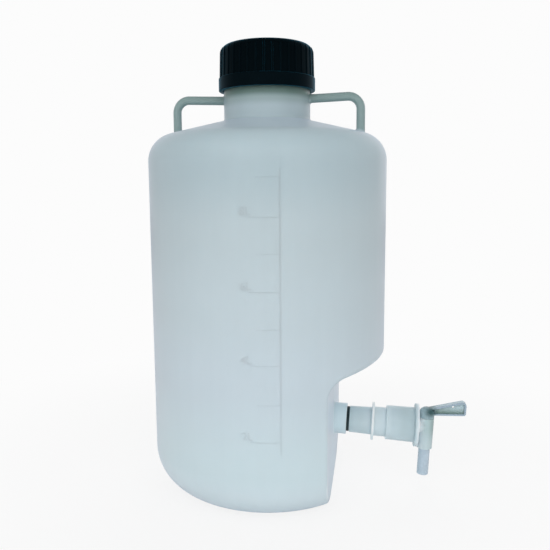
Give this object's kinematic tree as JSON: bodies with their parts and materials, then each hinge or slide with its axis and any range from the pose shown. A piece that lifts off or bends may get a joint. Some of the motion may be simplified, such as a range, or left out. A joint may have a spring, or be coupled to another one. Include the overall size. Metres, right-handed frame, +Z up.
{
  "type": "carboy with spigot",
  "caption": "Round translucent bottle for lab liquids, with a black screw cap, two bar handles at the neck and a quarter turn tap in a recess at its foot",
  "frame": {"origin": "on the bottle's axis, at the flat face that it stands on", "axes": "+Z up along the bottle's axis, +X from the axis towards the tap, +Y completes the right-handed set"},
  "size_m": [0.288, 0.213, 0.3989],
  "materials": {
    "bottle_plastic": "translucent natural moulding, satin",
    "cap_plastic": "satin black moulding",
    "liner_foam": "smooth foamed sheet",
    "washer_rubber": "matt black",
    "tap_plastic": "milky translucent moulding, satin",
    "plug_plastic": "milky moulding, satin",
    "seal_rubber": "smooth black"
  },
  "bodies": {
    "bottle": {"carboy_body": "bottle_plastic", "boss_washer": "washer_rubber", "tap_tail": "tap_plastic", "sleeve_seal": "seal_rubber", "tap_barrel": "tap_plastic"},
    "liner": {"cap_liner": "liner_foam"},
    "cap": {"screw_cap": "cap_plastic"},
    "plug": {"tap_plug": "plug_plastic", "plug_lower_seal": "seal_rubber", "plug_upper_seal": "seal_rubber"}
  },
  "joints": [
    {"name": "cap_lift", "type": "slide", "parent": "bottle", "child": "liner", "axis": [0, 0, 1], "range_m": [0, 0.039]},
    {"name": "cap_turn", "type": "hinge", "parent": "liner", "child": "cap", "pos_m": [0, 0, 0.37], "axis": [0, 0, 1], "range_deg": [0, 2340]},
    {"name": "tap_turn", "type": "hinge", "parent": "bottle", "child": "plug", "pos_m": [0.14609, 0, 0.05561], "axis": [0.0506, 0, 0.9987], "range_deg": [-90, 90]}
  ],
  "couplings": [
    {"joint": "cap_lift", "follows": "cap_turn", "m_per_rad": 0.00095493}
  ]
}
